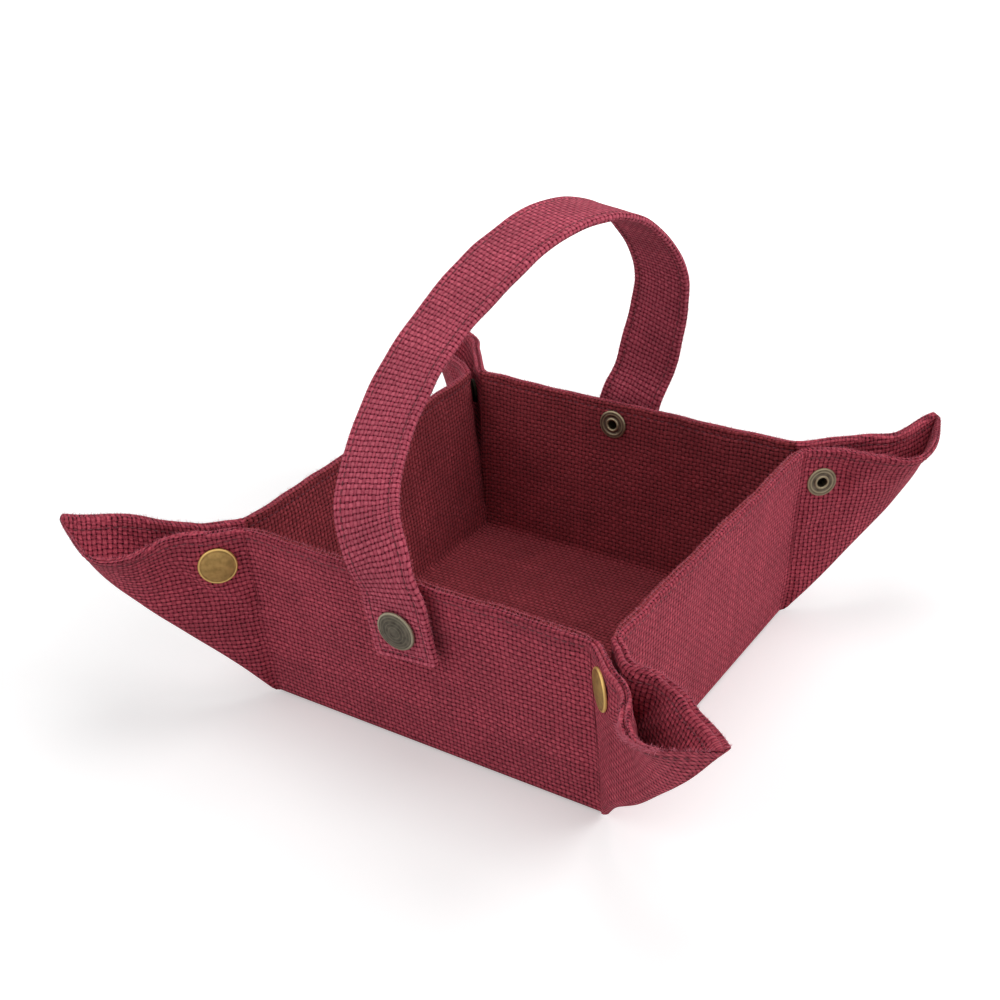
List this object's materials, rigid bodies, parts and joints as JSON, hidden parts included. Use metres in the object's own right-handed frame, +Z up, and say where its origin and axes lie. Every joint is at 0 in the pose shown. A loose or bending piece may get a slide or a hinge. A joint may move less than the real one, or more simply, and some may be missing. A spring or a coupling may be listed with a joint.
{
  "type": "jute tray",
  "caption": "Square jute tray with upright lined walls, snapped corner ears and an arched strap handle held by two snaps; it unfolds nearly flat.",
  "frame": {"origin": "centre of the base's underside, on the table", "axes": "+Z up out of the tray, the wall that carries the handle's front fastener towards -Y, the handle arching over towards +Y"},
  "size_m": [0.2746, 0.2652, 0.1785],
  "materials": {
    "jute_cloth": "wine red plain-weave jute, matt, with fuzzy turned hems",
    "jute_lining": "the same jute as lining, slightly darker inside",
    "jute_strap": "doubled wine red jute strap with stitched edges",
    "stiffener_board": "grey pressed card between the cloths",
    "aged_brass": "aged brass snap pieces, satin",
    "dark_bronze": "dark antique bronze plating on brass snaps"
  },
  "bodies": {
    "base": {"base_outer_cloth": "jute_cloth", "base_board": "stiffener_board", "base_lining": "jute_lining"},
    "front_wall": {"front_wall_outer_cloth": "jute_cloth", "front_wall_board": "stiffener_board", "front_wall_lining": "jute_lining", "handle_front_snap_stud": "dark_bronze", "handle_front_snap_eyelet": "dark_bronze"},
    "right_wall": {"right_wall_outer_cloth": "jute_cloth", "right_wall_board": "stiffener_board", "right_wall_lining": "jute_lining"},
    "back_wall": {"back_wall_outer_cloth": "jute_cloth", "back_wall_board": "stiffener_board", "back_wall_lining": "jute_lining", "handle_back_snap_stud": "dark_bronze", "handle_back_snap_eyelet": "dark_bronze"},
    "left_wall": {"left_wall_outer_cloth": "jute_cloth", "left_wall_board": "stiffener_board", "left_wall_lining": "jute_lining"},
    "front_right_ear_front": {"front_right_ear_front_half": "jute_cloth", "front_right_snap_cap": "aged_brass", "front_right_snap_socket": "aged_brass"},
    "front_right_ear_right": {"front_right_ear_right_half": "jute_cloth", "front_right_snap_stud": "aged_brass", "front_right_snap_eyelet": "aged_brass"},
    "back_right_ear_right": {"back_right_ear_right_half": "jute_cloth", "back_right_snap_stud": "aged_brass", "back_right_snap_eyelet": "aged_brass"},
    "back_right_ear_back": {"back_right_ear_back_half": "jute_cloth", "back_right_snap_cap": "aged_brass", "back_right_snap_socket": "aged_brass"},
    "back_left_ear_back": {"back_left_ear_back_half": "jute_cloth", "back_left_snap_cap": "aged_brass", "back_left_snap_socket": "aged_brass"},
    "back_left_ear_left": {"back_left_ear_left_half": "jute_cloth", "back_left_snap_stud": "aged_brass", "back_left_snap_eyelet": "aged_brass"},
    "front_left_ear_left": {"front_left_ear_left_half": "jute_cloth", "front_left_snap_stud": "aged_brass", "front_left_snap_eyelet": "aged_brass"},
    "front_left_ear_front": {"front_left_ear_front_half": "jute_cloth", "front_left_snap_cap": "aged_brass", "front_left_snap_socket": "aged_brass"},
    "handle": {"handle_strap": "jute_strap", "handle_front_snap_cap": "dark_bronze", "handle_front_snap_socket": "dark_bronze", "handle_back_snap_cap": "dark_bronze", "handle_back_snap_socket": "dark_bronze"}
  },
  "joints": [
    {"name": "unfold", "type": "hinge", "parent": "base", "child": "front_wall", "pos_m": [0, -0.075, 0], "axis": [-1, 0, 0], "range_deg": [-75, 0]},
    {"name": "unfold_right_wall", "type": "hinge", "parent": "base", "child": "right_wall", "pos_m": [0.075, 0, 0], "axis": [0, -1, 0], "range_deg": [-75.5, 0.5]},
    {"name": "unfold_back_wall", "type": "hinge", "parent": "base", "child": "back_wall", "pos_m": [0, 0.075, 0], "axis": [1, 0, 0], "range_deg": [-75.5, 0.5]},
    {"name": "unfold_left_wall", "type": "hinge", "parent": "base", "child": "left_wall", "pos_m": [-0.075, 0, 0], "axis": [0, 1, 0], "range_deg": [-75.5, 0.5]},
    {"name": "open_front_right_ear_front", "type": "hinge", "parent": "front_wall", "child": "front_right_ear_front", "pos_m": [0.075, -0.075, 0], "axis": [0, 0.0785, -0.9969], "range_deg": [-38, 0.5]},
    {"name": "open_front_right_ear_right", "type": "hinge", "parent": "right_wall", "child": "front_right_ear_right", "pos_m": [0.075, -0.075, 0], "axis": [0.0785, 0, 0.9969], "range_deg": [-38, 0.5]},
    {"name": "open_back_right_ear_right", "type": "hinge", "parent": "right_wall", "child": "back_right_ear_right", "pos_m": [0.075, 0.075, 0], "axis": [-0.0785, 0, -0.9969], "range_deg": [-38, 0.5]},
    {"name": "open_back_right_ear_back", "type": "hinge", "parent": "back_wall", "child": "back_right_ear_back", "pos_m": [0.075, 0.075, 0], "axis": [0, 0.0785, 0.9969], "range_deg": [-38, 0.5]},
    {"name": "open_back_left_ear_back", "type": "hinge", "parent": "back_wall", "child": "back_left_ear_back", "pos_m": [-0.075, 0.075, 0], "axis": [0, -0.0785, -0.9969], "range_deg": [-38, 0.5]},
    {"name": "open_back_left_ear_left", "type": "hinge", "parent": "left_wall", "child": "back_left_ear_left", "pos_m": [-0.075, 0.075, 0], "axis": [-0.0785, 0, 0.9969], "range_deg": [-38, 0.5]},
    {"name": "open_front_left_ear_left", "type": "hinge", "parent": "left_wall", "child": "front_left_ear_left", "pos_m": [-0.075, -0.075, 0], "axis": [0.0785, 0, -0.9969], "range_deg": [-38, 0.5]},
    {"name": "open_front_left_ear_front", "type": "hinge", "parent": "front_wall", "child": "front_left_ear_front", "pos_m": [-0.075, -0.075, 0], "axis": [0, -0.0785, 0.9969], "range_deg": [-38, 0.5]},
    {"name": "handle_swing", "type": "hinge", "parent": "front_wall", "child": "handle", "pos_m": [-0.0015, -0.08465, 0.06023], "axis": [-0.027, 0.9986, 0.0457], "range_deg": [-23, 44]}
  ],
  "couplings": [
    {"joint": "unfold_right_wall", "follows": "unfold", "ratio": 1},
    {"joint": "unfold_back_wall", "follows": "unfold", "ratio": 1},
    {"joint": "unfold_left_wall", "follows": "unfold", "ratio": 1},
    {"joint": "open_front_right_ear_front", "follows": "unfold", "ratio": 0.5},
    {"joint": "open_front_right_ear_right", "follows": "unfold", "ratio": 0.5},
    {"joint": "open_back_right_ear_right", "follows": "unfold", "ratio": 0.5},
    {"joint": "open_back_right_ear_back", "follows": "unfold", "ratio": 0.5},
    {"joint": "open_back_left_ear_back", "follows": "unfold", "ratio": 0.5},
    {"joint": "open_back_left_ear_left", "follows": "unfold", "ratio": 0.5},
    {"joint": "open_front_left_ear_left", "follows": "unfold", "ratio": 0.5},
    {"joint": "open_front_left_ear_front", "follows": "unfold", "ratio": 0.5}
  ]
}
